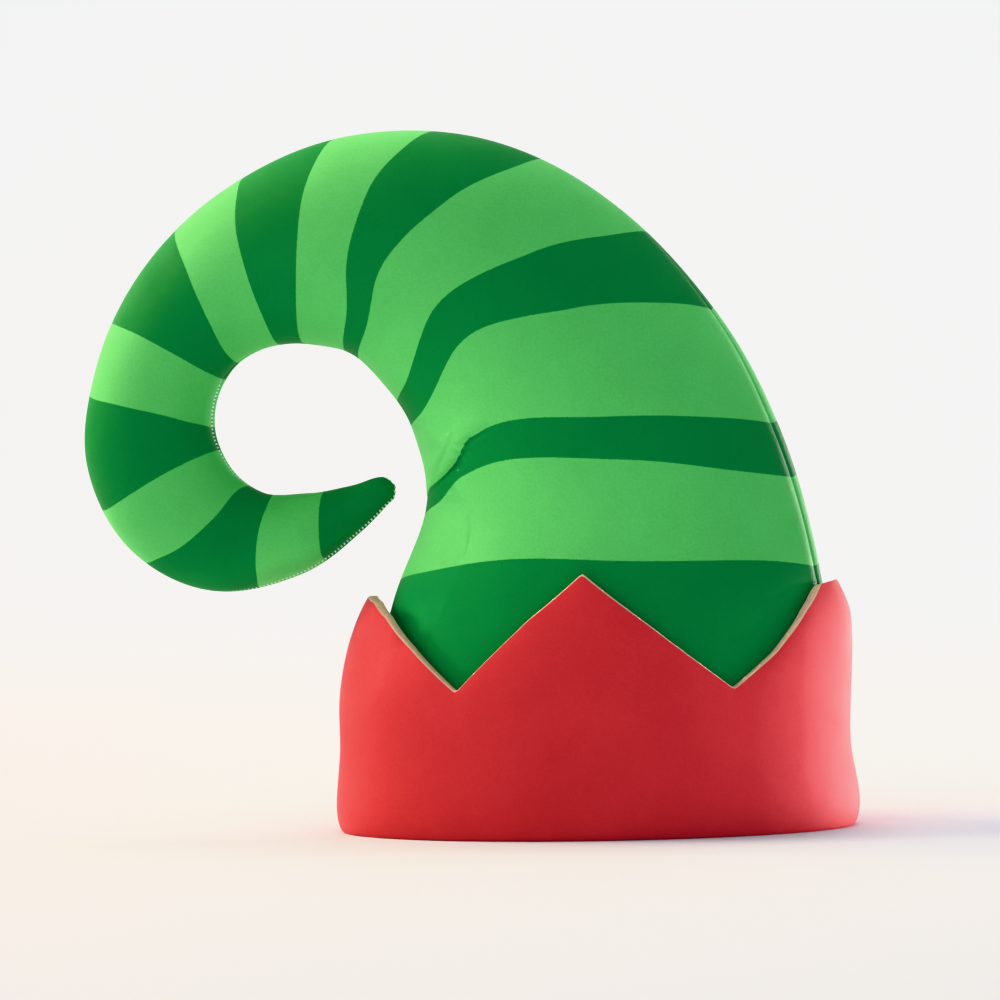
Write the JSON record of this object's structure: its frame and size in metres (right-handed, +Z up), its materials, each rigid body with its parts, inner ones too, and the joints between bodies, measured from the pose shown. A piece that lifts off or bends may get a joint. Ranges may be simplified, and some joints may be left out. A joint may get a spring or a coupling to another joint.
{
  "type": "elf hat",
  "caption": "Curled elf hat of striped foam-backed cloth, hollow and open underneath for the head, with a cuff cut in points along its top edge.",
  "frame": {"origin": "middle of the opening for the head, on the surface that the hem rests on", "axes": "+Z up, +X towards the bulging side of the crown and away from the curl, -Y towards the front face"},
  "size_m": [0.3726, 0.132, 0.3396],
  "materials": {
    "striped_cloth": "matt printed knit bonded to foam, light and dark green stripes",
    "red_cloth": "matt red knit bonded to foam, with a bare beige foam edge along the cut points"
  },
  "bodies": {
    "root": {"crown_front": "striped_cloth", "crown_back": "striped_cloth", "cuff": "red_cloth"}
  },
  "joints": []
}
